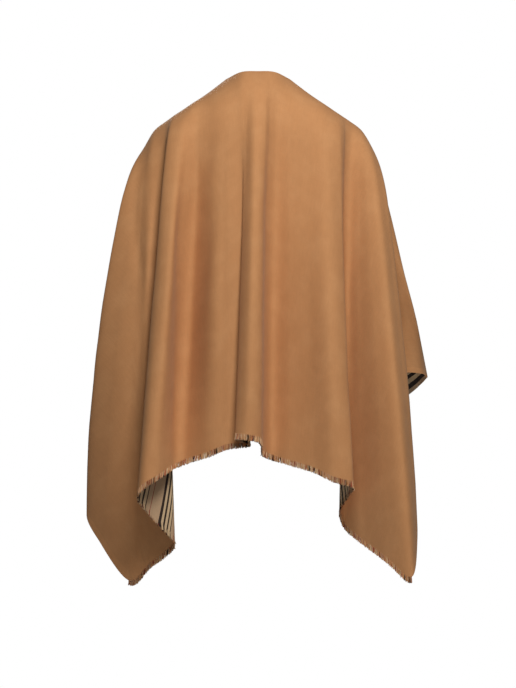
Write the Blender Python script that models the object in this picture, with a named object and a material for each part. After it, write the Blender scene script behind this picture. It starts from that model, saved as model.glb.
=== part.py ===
"""Wool cape, worn open, as the solids of its cloth and its fringe.

The cape is one rectangle of double-faced wool.  It is slit from the middle of
the front hem to a small scooped neck hole, and it hangs from the neck and the
shoulders of a general figure that is not built.  The origin is the nape, the
back faces +Y, and the wearer's left is +X.

Straight rays of the flat cloth run from a root, on the neck hole or on the
shoulder line, to the cut edge.  Each table row places the end of one ray where
a fold turns, and the rays between the rows follow smoothly.
"""
from collections import namedtuple
from math import asin, cos, pi, sin

import bmesh
import bpy
from mathutils import Vector

# The cut, flat, in metres.
SPAN = 1.44                 # from arm edge to arm edge
LENGTH = 1.33               # from front hem to back hem
WALL = 0.002                # thickness of the wool
SEAM_GAP = 0.0003           # between neighbouring pieces
NECK_RADIUS = 0.066
NECK_FORWARD = 0.030        # the hole's centre lies in front of the shoulder line

# The eyelash fringe on the two warp ends.
LOCK_PITCH = 0.012
LOCK_LENGTH = 0.009
STRIP_HEIGHT = 0.003
LOCK_LEAN = 0.002           # the locks' tips lie up to this far aside

# How the cloth rounds over the shoulders and arms before it falls.
ROUND_LENGTH = 0.15         # of cloth, from the root
ROUND_LONGEST = 0.5         # of a short ray
BACK_ROUND = 0.088          # out over the shoulder blades, from the shoulder line
FRONT_ROUND = 0.060         # out over the chest, from the throat
ARM_ROUND = 0.048           # out over the arms
NECK_LEVEL = 0.50           # how level the cloth leaves the neck; the shoulders have 1
LEVEL_FADE = 0.13           # from the middle to where the shoulders' level holds
ROUND_FADE = 0.24           # from the middle to where the arms' round holds
BOW_SCALE = 4.0             # makes a ray's greatest bulge sideways, halfway down, its bow
SWAY_SCALE = 6.75           # makes its greatest bulge to the back, two thirds down, its sway

SELVEDGE_STEPS = 22         # columns along each arm edge of a panel
RAY_STOPS = (0.0, 0.035, 0.08, 0.14, 0.22, 0.36, 0.66, 1.0)

HALF_SPAN = SPAN / 2
HALF_LENGTH = LENGTH / 2
HEM_STEPS = round(HALF_SPAN / LOCK_PITCH)
NECK_SIDE = asin(NECK_FORWARD / NECK_RADIUS)
NECK_HALF = NECK_RADIUS * cos(NECK_SIDE)
EDGE_END = HALF_SPAN + HALF_LENGTH
WELD = 0.00001
SMALL = 0.001
SHARP = pi / 4
LEAN_TURN = 2.4             # radians from one lock's lean to the next

# A point of the line that carries the cloth.  `root` is the distance along the
# shoulder line from the middle: positive to the wearer's left.
Root = namedtuple("Root", "root x y z")
# The end of a ray.  `edge` is the distance along the cut edge from the middle
# of the hem, round the corner and up the selvedge to the wrist.  `bow` and
# `sway` are how far the ray bulges to the left and to the back.
Fold = namedtuple("Fold", "edge root x y z bow sway", defaults=(0.0, 0.0))

LEFT_ARM = (
    Root(NECK_HALF, 0.056, 0.004, -0.012),
    Root(0.100, 0.089, 0.003, -0.037),
    Root(0.150, 0.131, 0.001, -0.066),
    Root(0.190, 0.162, 0.000, -0.086),
    Root(0.218, 0.184, 0.000, -0.103),
    Root(0.245, 0.198, 0.000, -0.126),
    Root(0.280, 0.211, 0.000, -0.157),
    Root(0.340, 0.228, 0.000, -0.214),
    Root(0.410, 0.247, 0.000, -0.280),
    Root(0.480, 0.258, -0.005, -0.352),
    Root(0.600, 0.272, -0.020, -0.470),
    Root(HALF_SPAN, 0.280, -0.045, -0.585),
)
RIGHT_ARM = (
    Root(-HALF_SPAN, -0.309, -0.100, -0.545),
    Root(-0.600, -0.286, -0.038, -0.447),
    Root(-0.490, -0.259, 0.000, -0.352),
    Root(-0.410, -0.242, 0.005, -0.280),
    Root(-0.340, -0.226, 0.000, -0.214),
    Root(-0.280, -0.211, 0.000, -0.157),
    Root(-0.245, -0.198, 0.000, -0.126),
    Root(-0.218, -0.184, 0.000, -0.103),
    Root(-0.190, -0.162, 0.000, -0.086),
    Root(-0.150, -0.131, 0.001, -0.066),
    Root(-0.100, -0.089, 0.003, -0.037),
    Root(-NECK_HALF, -0.056, 0.004, -0.012),
)

NECK_BACK = (
    RIGHT_ARM[-1],
    Root(-0.030, -0.030, 0.036, -0.003),
    Root(0.000, 0.000, 0.042, -0.002),
    Root(0.030, 0.030, 0.036, -0.003),
    LEFT_ARM[0],
)
NECK_FRONT = (
    Root(0.000, 0.010, -0.086, -0.056),
    Root(0.020, 0.036, -0.072, -0.044),
    Root(0.040, 0.057, -0.038, -0.024),
    LEFT_ARM[0],
)

BACK_FOLDS = (
    Fold(-EDGE_END, -0.600, -0.309, -0.100, -0.545),        # right wrist
    Fold(-1.300, -0.520, -0.294, -0.048, -0.537, 0.0, -0.010),
    Fold(-1.230, -0.455, -0.258, -0.018, -0.538, 0.0, -0.016),      # cuff, near side
    Fold(-1.140, -0.395, -0.222, 0.022, -0.585, 0.0, -0.016),       # valley behind the arm
    Fold(-1.050, -0.340, -0.212, 0.062, -0.655, 0.0, -0.010),
    Fold(-0.960, -0.300, -0.240, 0.112, -0.700),
    Fold(-0.880, -0.268, -0.268, 0.158, -0.752, -0.010),    # outer turn of the corner
    Fold(-0.790, -0.248, -0.270, 0.205, -0.828, -0.008),
    Fold(-0.720, -0.234, -0.259, 0.250, -0.877, -0.004),    # right corner
    Fold(-0.640, -0.219, -0.223, 0.213, -0.850),
    Fold(-0.560, -0.206, -0.180, 0.152, -0.820),
    Fold(-0.490, -0.194, -0.150, 0.118, -0.795),            # inner turn
    Fold(-0.430, -0.182, -0.141, 0.142, -0.764),
    Fold(-0.370, -0.171, -0.156, 0.188, -0.734),
    Fold(-0.320, -0.158, -0.161, 0.218, -0.720),            # outer turn
    Fold(-0.265, -0.130, -0.130, 0.222, -0.710, 0.0, 0.008),    # broad right ridge
    Fold(-0.205, -0.090, -0.092, 0.194, -0.694, 0.0, -0.004),
    Fold(-0.156, -NECK_HALF, -0.056, 0.170, -0.684, 0.0, -0.010),   # end of the neck hole
    Fold(-0.105, -0.034, -0.020, 0.152, -0.674, 0.0, -0.012),   # right valley
    Fold(-0.080, -0.024, -0.008, 0.174, -0.667, 0.0, -0.006),   # behind the pipe
    Fold(-0.045, -0.013, -0.005, 0.212, -0.646, 0.0, 0.004),    # pipe, right turn
    Fold(0.000, 0.002, 0.020, 0.228, -0.638, 0.0, 0.004),       # pipe fold
    Fold(0.035, 0.014, 0.038, 0.210, -0.638, 0.0, -0.009),      # pipe, left turn
    Fold(0.075, 0.036, 0.014, 0.190, -0.649, 0.0, -0.004),      # behind the pipe
    Fold(0.132, NECK_HALF, 0.056, 0.182, -0.657, 0.0, -0.004),  # end of the neck hole
    Fold(0.176, 0.080, 0.087, 0.174, -0.670, 0.0, -0.008),
    Fold(0.216, 0.108, 0.128, 0.148, -0.684, 0.0, -0.038),      # main left valley
    Fold(0.260, 0.128, 0.156, 0.180, -0.698, 0.0, -0.020),
    Fold(0.290, 0.143, 0.174, 0.206, -0.709, 0.0, 0.002),       # broad left ridge
    Fold(0.320, 0.158, 0.194, 0.214, -0.722, 0.0, -0.002),
    Fold(0.350, 0.168, 0.205, 0.204, -0.737, 0.003, -0.009),    # outer turn
    Fold(0.400, 0.180, 0.190, 0.174, -0.766, -0.001, -0.006),
    Fold(0.460, 0.193, 0.164, 0.150, -0.797, -0.003, 0.003),
    Fold(0.520, 0.206, 0.145, 0.130, -0.824, 0.0, 0.012),       # inner turn
    Fold(0.610, 0.219, 0.189, 0.086, -0.868, 0.006, 0.038),
    Fold(0.720, 0.233, 0.228, 0.062, -0.899, 0.006, 0.052),     # left corner
    Fold(0.820, 0.246, 0.277, 0.044, -0.838, 0.008, 0.044),
    Fold(0.900, 0.268, 0.304, 0.026, -0.785, 0.021, 0.024),     # outer turn of the corner
    Fold(0.980, 0.300, 0.272, 0.024, -0.740, 0.0, 0.010),
    Fold(1.060, 0.340, 0.214, 0.030, -0.702, 0.0, 0.004),       # valley behind the arm
    Fold(1.150, 0.400, 0.221, 0.018, -0.655),
    Fold(1.260, 0.500, 0.264, -0.006, -0.606),
    Fold(EDGE_END, 0.600, 0.280, -0.045, -0.585),               # left wrist
)

# The two fronts, each from the slit round to its wrist.
FRONT_LEFT_FOLDS = (
    Fold(0.000, 0.000, 0.028, -0.190, -0.620),              # edge of the slit
    Fold(0.050, 0.024, 0.064, -0.214, -0.628),
    Fold(0.105, 0.046, 0.084, -0.178, -0.642),              # valley
    Fold(0.132, NECK_HALF, 0.098, -0.194, -0.648),          # end of the neck hole
    Fold(0.165, 0.090, 0.120, -0.216, -0.656),
    Fold(0.225, 0.155, 0.172, -0.238, -0.682),              # ridge
    Fold(0.275, 0.188, 0.200, -0.220, -0.708),              # outer turn
    Fold(0.330, 0.194, 0.190, -0.166, -0.738),
    Fold(0.390, 0.199, 0.164, -0.128, -0.768),
    Fold(0.450, 0.205, 0.167, -0.094, -0.796),              # inner turn
    Fold(0.530, 0.214, 0.200, -0.128, -0.824),
    Fold(0.620, 0.226, 0.224, -0.192, -0.852),
    Fold(0.720, 0.240, 0.244, -0.240, -0.874),              # corner
    Fold(0.820, 0.256, 0.268, -0.196, -0.808),
    Fold(0.900, 0.268, 0.270, -0.146, -0.752),              # outer turn of the corner
    Fold(0.980, 0.300, 0.240, -0.108, -0.704),
    Fold(1.060, 0.340, 0.212, -0.082, -0.668),              # valley before the arm
    Fold(1.150, 0.400, 0.230, -0.064, -0.632),
    Fold(1.260, 0.500, 0.262, -0.066, -0.599),
    Fold(EDGE_END, 0.600, 0.280, -0.045, -0.585),           # left wrist
)
FRONT_RIGHT_FOLDS = (
    Fold(-EDGE_END, -0.600, -0.309, -0.100, -0.545),        # right wrist
    Fold(-1.300, -0.520, -0.292, -0.134, -0.565),           # cuff, far side
    Fold(-1.230, -0.455, -0.268, -0.116, -0.584),
    Fold(-1.140, -0.395, -0.232, -0.070, -0.620),
    Fold(-1.050, -0.340, -0.206, -0.080, -0.656),           # valley before the arm
    Fold(-0.960, -0.300, -0.237, -0.130, -0.708),
    Fold(-0.880, -0.268, -0.265, -0.176, -0.764),           # outer turn of the corner
    Fold(-0.810, -0.256, -0.266, -0.208, -0.810),
    Fold(-0.720, -0.238, -0.242, -0.252, -0.870),           # corner
    Fold(-0.640, -0.226, -0.226, -0.208, -0.848),
    Fold(-0.560, -0.214, -0.200, -0.140, -0.826),
    Fold(-0.480, -0.205, -0.163, -0.102, -0.800),           # inner turn
    Fold(-0.410, -0.198, -0.160, -0.146, -0.766),
    Fold(-0.345, -0.192, -0.194, -0.206, -0.732),
    Fold(-0.290, -0.184, -0.196, -0.244, -0.706),           # outer turn
    Fold(-0.235, -0.150, -0.152, -0.232, -0.684),
    Fold(-0.175, -0.104, -0.110, -0.196, -0.660),           # valley
    Fold(-0.132, -NECK_HALF, -0.092, -0.216, -0.645),       # end of the neck hole
    Fold(-0.055, -0.026, -0.054, -0.206, -0.628),
    Fold(0.000, 0.000, -0.020, -0.186, -0.620),             # edge of the slit
)

COLLECTION = "wool_cape"
CLOTH_COLOUR = (0.560, 0.285, 0.125, 1.0)
FRINGE_COLOUR = (0.500, 0.290, 0.150, 1.0)
CLOTH_ROUGHNESS = 0.92
FRINGE_ROUGHNESS = 0.95


def mirrored(rows):
    """The rows of a carrying line for the other side of the body."""
    return tuple(row._replace(root=-row.root, x=-row.x) for row in reversed(rows))


def between_rows(rows, place):
    """The row at a place in a table, on a smooth curve through its rows."""
    last = len(rows) - 2
    i = 0
    while i < last and place > rows[i + 1][0]:
        i += 1
    slopes = []
    for k in (i, i + 1):
        before = max(k - 1, 0)
        after = min(k + 1, last + 1)
        near, row, far = (Vector(rows[n][1:]) for n in (before, k, after))
        left = rows[k][0] - rows[before][0]
        right = rows[after][0] - rows[k][0]
        if before == k:
            slopes.append((far - row) / right)
        elif after == k:
            slopes.append((row - near) / left)
        else:
            slopes.append(((far - row) / right * left + (row - near) / left * right) / (left + right))
    step = rows[i + 1][0] - rows[i][0]
    f = (place - rows[i][0]) / step
    start, end = (Vector(rows[n][1:]) for n in (i, i + 1))
    value = start * (1 + 2 * f) * (1 - f) ** 2 + slopes[0] * step * f * (1 - f) ** 2
    value += end * f * f * (3 - 2 * f) - slopes[1] * step * f * f * (1 - f)
    return value


class Panel:
    """A stretch of the cloth: its carrying line, its folds and its flat cut."""

    def __init__(self, name, roots, folds, side, whole):
        self.name = name
        self.roots = roots
        self.folds = folds
        self.side = side            # +1 for the back, -1 for a front
        self.whole = whole          # from wrist to wrist, as the back is
        self.across = folds[-1].edge if folds[-1].edge > 0 else folds[0].edge

    def carried(self, root):
        """The point of the carrying line at a root."""
        rows = next((rows for rows in self.roots if root < rows[-1].root), self.roots[-1])
        return between_rows(rows, root)

    def edges(self):
        """The places of the panel's columns along its cut edge."""
        half = [LOCK_PITCH * i for i in range(HEM_STEPS)]
        half += [HALF_SPAN + HALF_LENGTH * i / SELVEDGE_STEPS for i in range(SELVEDGE_STEPS + 1)]
        if self.whole:
            return [-edge for edge in reversed(half[1:])] + half
        if self.across < 0:
            return [-edge for edge in reversed(half)]
        return half

    def stop(self, edge, row):
        """How far down its ray a row lies: evenly parted towards the wrists."""
        even = max(abs(edge) - HALF_SPAN, 0.0) / HALF_LENGTH
        return RAY_STOPS[row] * (1 - even) + row / (len(RAY_STOPS) - 1) * even

    def root_flat(self, root):
        """Where a root lies in the flat cut."""
        if abs(root) >= NECK_HALF:
            return root, 0.0
        share = abs(root) / NECK_HALF
        angle = self.side * pi / 2 * (1 - share) + NECK_SIDE * share
        reach = NECK_RADIUS * cos(angle)
        return (reach if root > 0 else -reach), NECK_RADIUS * sin(angle) - NECK_FORWARD

    def edge_flat(self, edge):
        """Where a place on the cut edge lies in the flat cut."""
        across = min(abs(edge), HALF_SPAN)
        up = max(abs(edge) - HALF_SPAN, 0.0)
        return (across if edge > 0 else -across), self.side * (HALF_LENGTH - up)

    def point(self, edge, t):
        """The cloth's middle surface, a share t of the way down a ray."""
        fold = between_rows(self.folds, edge)
        root, end, bow, sway = fold[0], Vector(fold[1:4]), fold[4], fold[5]
        start = self.carried(root)
        run = Vector(self.edge_flat(edge)) - Vector(self.root_flat(root))
        middle = BACK_ROUND if self.side > 0 else FRONT_ROUND
        arms = min(abs(root) / ROUND_FADE, 1.0)
        square = abs(run.y) / run.length
        out = middle * (1 - arms) + ARM_ROUND * arms
        turn = min(ROUND_LENGTH / run.length, ROUND_LONGEST)
        drop = start.z - end.z
        level = min(abs(root) / LEVEL_FADE, 1.0)
        level = NECK_LEVEL + (1 - NECK_LEVEL) * level
        lag = drop / (2 / turn - 1) * square * level
        rounded = 1 - (1 - min(t / turn, 1.0)) ** 2
        back_from = start.y if self.side > 0 else 0.0   # the back swells to one depth
        swell = Vector((0.0, (self.side * out - back_from) * square, 0.0))
        place = start + swell * rounded + (end - start - swell) * t
        place.x += BOW_SCALE * bow * t * (1 - t)
        place.y += SWAY_SCALE * sway * t * t * (1 - t)
        place.z = start.z - (drop + lag) * t + lag * rounded
        return place

    def on_shoulders(self, edge, t):
        """Whether a point of the panel is on the line that it shares."""
        root = between_rows(self.folds, edge)[0]
        return abs(edge) > EDGE_END - WELD or (t == 0 and abs(root) > NECK_HALF - WELD)

    def shared_line(self, edge, t):
        """The panel's side of the seam there, and the way out of the cloth."""
        root = between_rows(self.folds, edge)[0]
        left = 1 if root > 0 else -1
        root += (left * HALF_SPAN - root) * t
        line = (self.carried(root + left * SMALL) - self.carried(root)).normalized() * left
        out = line.cross(Vector((0, 1, 0))).normalized()
        away = out.cross(line) * self.side
        return away * SEAM_GAP / 2, out


def panels():
    """The three stretches of the one cut."""
    return (
        Panel("back_panel", (RIGHT_ARM, NECK_BACK, LEFT_ARM), BACK_FOLDS, 1, True),
        Panel("front_left_panel", (NECK_FRONT, LEFT_ARM), FRONT_LEFT_FOLDS, -1, False),
        Panel("front_right_panel", (RIGHT_ARM, mirrored(NECK_FRONT)), FRONT_RIGHT_FOLDS, -1, False),
    )


def hang(panel):
    """The panel's open surface, which keeps the way out at each point."""
    bm = bmesh.new()
    outward = bm.verts.layers.float_vector.new("outward")
    hem_column = bm.verts.layers.int.new("hem_column")
    edges = panel.edges()
    columns = len(edges) - 1
    rows = len(RAY_STOPS) - 1
    bmesh.ops.create_grid(bm, x_segments=columns, y_segments=rows, size=1.0)
    seam = []
    for vert in bm.verts:
        edge = edges[round((vert.co.x + 1) / 2 * columns)]
        t = panel.stop(edge, round((vert.co.y + 1) / 2 * rows))
        if t == 1 and abs(edge) < HALF_SPAN + WELD:
            vert[hem_column] = edges.index(edge) + 1
        vert.co = panel.point(edge, t)
        if panel.on_shoulders(edge, t):
            seam.append((vert, *panel.shared_line(edge, t)))
    if panel.side < 0:
        bmesh.ops.reverse_faces(bm, faces=bm.faces)
    bmesh.ops.triangulate(bm, faces=bm.faces, quad_method="SHORT_EDGE")
    bm.normal_update()
    for vert in bm.verts:
        vert[outward] = vert.normal
    for vert, shift, out in seam:
        vert.co += shift
        vert[outward] = out
    return bm


def thicken(bm):
    """Give an open surface its wall, half to each side, along `outward`."""
    outward = bm.verts.layers.float_vector["outward"]
    hem_column = bm.verts.layers.int["hem_column"]
    made = bmesh.ops.extrude_face_region(bm, geom=bm.faces[:], use_keep_orig=True)
    outer = {item for item in made["geom"] if isinstance(item, bmesh.types.BMVert)}
    for vert in bm.verts:
        step = Vector(vert[outward]) * WALL / 2
        vert.co += step if vert in outer else -step
    for rim in [face for face in bm.faces if len(face.verts) == 4]:
        low = min((vert for vert in rim.verts if vert not in outer), key=lambda vert: vert[hem_column])
        high = max((vert for vert in rim.verts if vert in outer), key=lambda vert: vert[hem_column])
        if high[hem_column] > low[hem_column]:
            bmesh.utils.face_split(rim, low, high)
    bmesh.ops.recalc_face_normals(bm, faces=bm.faces)


def fringe(panel, cloth):
    """The strip below a panel's hem, with a lock drawn down from each bay."""
    hem_column = cloth.verts.layers.int["hem_column"]
    outward = cloth.verts.layers.float_vector["outward"]
    hem = sorted((vert for vert in cloth.verts if vert[hem_column]), key=lambda vert: vert[hem_column])
    falls = []
    for vert in hem:
        above = panel.point(panel.edges()[vert[hem_column] - 1], RAY_STOPS[-2])
        falls.append((vert.co - above).normalized())
    strip = bmesh.new()
    strip_outward = strip.verts.layers.float_vector.new("outward")
    strip_column = strip.verts.layers.int.new("hem_column")
    bmesh.ops.create_grid(strip, x_segments=len(hem) - 1, y_segments=1, size=1.0)
    for vert in strip.verts:
        column = round((vert.co.x + 1) / 2 * (len(hem) - 1))
        depth = SEAM_GAP
        if vert.co.y < 0:
            depth += STRIP_HEIGHT
        else:
            vert[strip_column] = column + 1
        vert.co = hem[column].co + falls[column] * depth
        vert[strip_outward] = Vector(hem[column][outward])
    bmesh.ops.triangulate(strip, faces=strip.faces, quad_method="SHORT_EDGE")
    thicken(strip)
    draw_locks(strip, hem, falls)
    return strip


def draw_locks(strip, hem, falls):
    """Draw the underside of each bay of the strip down to a tip."""
    strip_column = strip.verts.layers.int["hem_column"]
    bays = [face for face in strip.faces if not any(vert[strip_column] for vert in face.verts)]
    bays = [face for face in bays if len(face.verts) == 4]
    middles = [face.calc_center_median() for face in bays]
    order = [min(range(len(hem)), key=lambda i: (hem[i].co - place).length_squared) for place in middles]
    tips = bmesh.ops.poke(strip, faces=bays)["verts"]
    for tip, column in zip(tips, order):
        tip.co += falls[column] * LOCK_LENGTH
        tip.co.x += LOCK_LEAN * sin(column * LEAN_TURN)


def material(name, colour, roughness):
    """A Principled material of one colour."""
    made = bpy.data.materials.new(name)
    made.use_nodes = True
    shader = made.node_tree.nodes["Principled BSDF"]
    shader.inputs["Base Color"].default_value = colour
    shader.inputs["Roughness"].default_value = roughness
    shader.inputs["Metallic"].default_value = 0.0
    made.diffuse_color = colour
    return made


def add_object(name, bm, surface, collection):
    """A named object from a bmesh, which it frees."""
    mesh = bpy.data.meshes.new(name)
    bmesh.ops.triangulate(bm, faces=bm.faces, quad_method="SHORT_EDGE")
    bm.to_mesh(mesh)
    bm.free()
    mesh.shade_smooth()
    mesh.set_sharp_from_angle(angle=SHARP)
    mesh.materials.append(surface)
    made = bpy.data.objects.new(name, mesh)
    collection.objects.link(made)
    return made


def main():
    """Hang the cloth, stretch by stretch, and fringe its hems."""
    for old in list(bpy.data.objects):
        bpy.data.objects.remove(old)
    collection = bpy.data.collections.new(COLLECTION)
    bpy.context.scene.collection.children.link(collection)
    wool = material("camel_wool", CLOTH_COLOUR, CLOTH_ROUGHNESS)
    yarn = material("fringe_yarn", FRINGE_COLOUR, FRINGE_ROUGHNESS)
    for panel in panels():
        cloth = hang(panel)
        locks = fringe(panel, cloth)
        thicken(cloth)
        add_object(panel.name, cloth, wool, collection)
        add_object(panel.name.replace("_panel", "_fringe"), locks, yarn, collection)


main()
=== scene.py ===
"""A wool cape, worn open: its double-faced cloth, its eyelash fringe and the stage."""

import random
from collections import namedtuple
from math import asin, cos, exp, pi, radians, sin

import bmesh
import bpy
import numpy as np
from bpy.props import FloatProperty, FloatVectorProperty, IntProperty, PointerProperty
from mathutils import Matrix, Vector, noise


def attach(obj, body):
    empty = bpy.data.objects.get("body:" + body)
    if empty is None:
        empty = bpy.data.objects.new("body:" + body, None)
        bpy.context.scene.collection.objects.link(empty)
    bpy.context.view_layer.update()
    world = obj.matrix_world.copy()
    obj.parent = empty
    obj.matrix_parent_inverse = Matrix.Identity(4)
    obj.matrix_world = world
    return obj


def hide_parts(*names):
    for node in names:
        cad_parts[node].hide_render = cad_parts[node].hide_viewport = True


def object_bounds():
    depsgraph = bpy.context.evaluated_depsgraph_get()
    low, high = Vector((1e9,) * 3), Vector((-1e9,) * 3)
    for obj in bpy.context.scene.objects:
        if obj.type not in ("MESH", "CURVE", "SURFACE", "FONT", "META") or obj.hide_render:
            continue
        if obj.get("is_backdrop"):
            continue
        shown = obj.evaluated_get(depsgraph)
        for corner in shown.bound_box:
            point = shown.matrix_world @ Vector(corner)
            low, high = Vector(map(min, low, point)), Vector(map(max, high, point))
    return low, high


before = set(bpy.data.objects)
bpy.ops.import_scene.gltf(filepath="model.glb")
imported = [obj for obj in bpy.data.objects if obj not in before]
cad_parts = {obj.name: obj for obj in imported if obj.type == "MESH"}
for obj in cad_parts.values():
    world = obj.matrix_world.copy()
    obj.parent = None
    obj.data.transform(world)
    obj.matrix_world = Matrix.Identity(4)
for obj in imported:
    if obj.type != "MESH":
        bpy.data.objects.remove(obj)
CAD_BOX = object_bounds()

bl_info = {
    "name": "Wool cape",
    "version": (1, 0, 0),
    "blender": (4, 5, 0),
    "location": "View3D > Sidebar > Cape",
    "description": "Hangs a fringed, double-faced wool cape and lights it",
    "category": "Object",
}

# The cut, flat, in metres.
SPAN = 1.44                 # from arm edge to arm edge
LENGTH = 1.33               # from front hem to back hem
HALF_SPAN = SPAN / 2
HALF_LENGTH = LENGTH / 2
NECK_RADIUS = 0.066
NECK_FORWARD = 0.030        # the hole's centre lies in front of the shoulder line
NECK_SIDE = asin(NECK_FORWARD / NECK_RADIUS)
NECK_HALF = NECK_RADIUS * cos(NECK_SIDE)    # of the hole's width on the shoulder line
EDGE_END = HALF_SPAN + HALF_LENGTH          # from the middle of a hem round to a wrist

# How the cloth rounds over the shoulders and arms before it falls.
ROUND_LENGTH = 0.15         # of cloth that rounds, from the root
ROUND_LONGEST = 0.5         # at most this share of a ray rounds
BACK_ROUND = 0.088          # out over the shoulder blades, from the shoulder line
FRONT_ROUND = 0.060         # out over the chest, from the throat
ARM_ROUND = 0.048           # out over the arms
NECK_LEVEL = 0.50           # how level the cloth leaves the neck; the shoulders have 1
LEVEL_FADE = 0.13           # from the middle to where the shoulders' level holds
ROUND_FADE = 0.24           # from the middle to where the arms' round holds
BOW_SCALE = 4.0             # makes a ray's greatest bulge sideways, halfway down, its bow
SWAY_SCALE = 6.75           # makes its greatest bulge back, two thirds down, its sway
ROW_CROWDING = 1.6          # rows crowd towards the shoulders by this power

# A point of the line that carries the cloth.  `root` is the distance along the
# shoulder line from the middle: positive to the wearer's left.
Root = namedtuple("Root", "root x y z")
# The end of a ray.  `edge` is the distance along the cut edge from the middle
# of the hem, round the corner and up the selvedge to the wrist.  `bow` and
# `sway` are how far the ray bulges to the left and to the back.
Fold = namedtuple("Fold", "edge root x y z bow sway", defaults=(0.0, 0.0))

# The shoulder line out over each arm, and the two edges of the neck hole.
LEFT_ARM = (
    Root(NECK_HALF, 0.056, 0.004, -0.012),
    Root(0.100, 0.089, 0.003, -0.037),
    Root(0.150, 0.131, 0.001, -0.066),
    Root(0.190, 0.162, 0.000, -0.086),
    Root(0.218, 0.184, 0.000, -0.103),
    Root(0.245, 0.198, 0.000, -0.126),
    Root(0.280, 0.211, 0.000, -0.157),
    Root(0.340, 0.228, 0.000, -0.214),
    Root(0.410, 0.247, 0.000, -0.280),
    Root(0.480, 0.258, -0.005, -0.352),
    Root(0.600, 0.272, -0.020, -0.470),
    Root(HALF_SPAN, 0.280, -0.045, -0.585),
)
RIGHT_ARM = (
    Root(-HALF_SPAN, -0.309, -0.100, -0.545),
    Root(-0.600, -0.286, -0.038, -0.447),
    Root(-0.490, -0.259, 0.000, -0.352),
    Root(-0.410, -0.242, 0.005, -0.280),
    Root(-0.340, -0.226, 0.000, -0.214),
    Root(-0.280, -0.211, 0.000, -0.157),
    Root(-0.245, -0.198, 0.000, -0.126),
    Root(-0.218, -0.184, 0.000, -0.103),
    Root(-0.190, -0.162, 0.000, -0.086),
    Root(-0.150, -0.131, 0.001, -0.066),
    Root(-0.100, -0.089, 0.003, -0.037),
    Root(-NECK_HALF, -0.056, 0.004, -0.012),
)

NECK_BACK = (
    RIGHT_ARM[-1],
    Root(-0.030, -0.030, 0.036, -0.003),
    Root(0.000, 0.000, 0.042, -0.002),
    Root(0.030, 0.030, 0.036, -0.003),
    LEFT_ARM[0],
)
NECK_FRONT = (
    Root(0.000, 0.010, -0.086, -0.056),
    Root(0.020, 0.036, -0.072, -0.044),
    Root(0.040, 0.057, -0.038, -0.024),
    LEFT_ARM[0],
)

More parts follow.
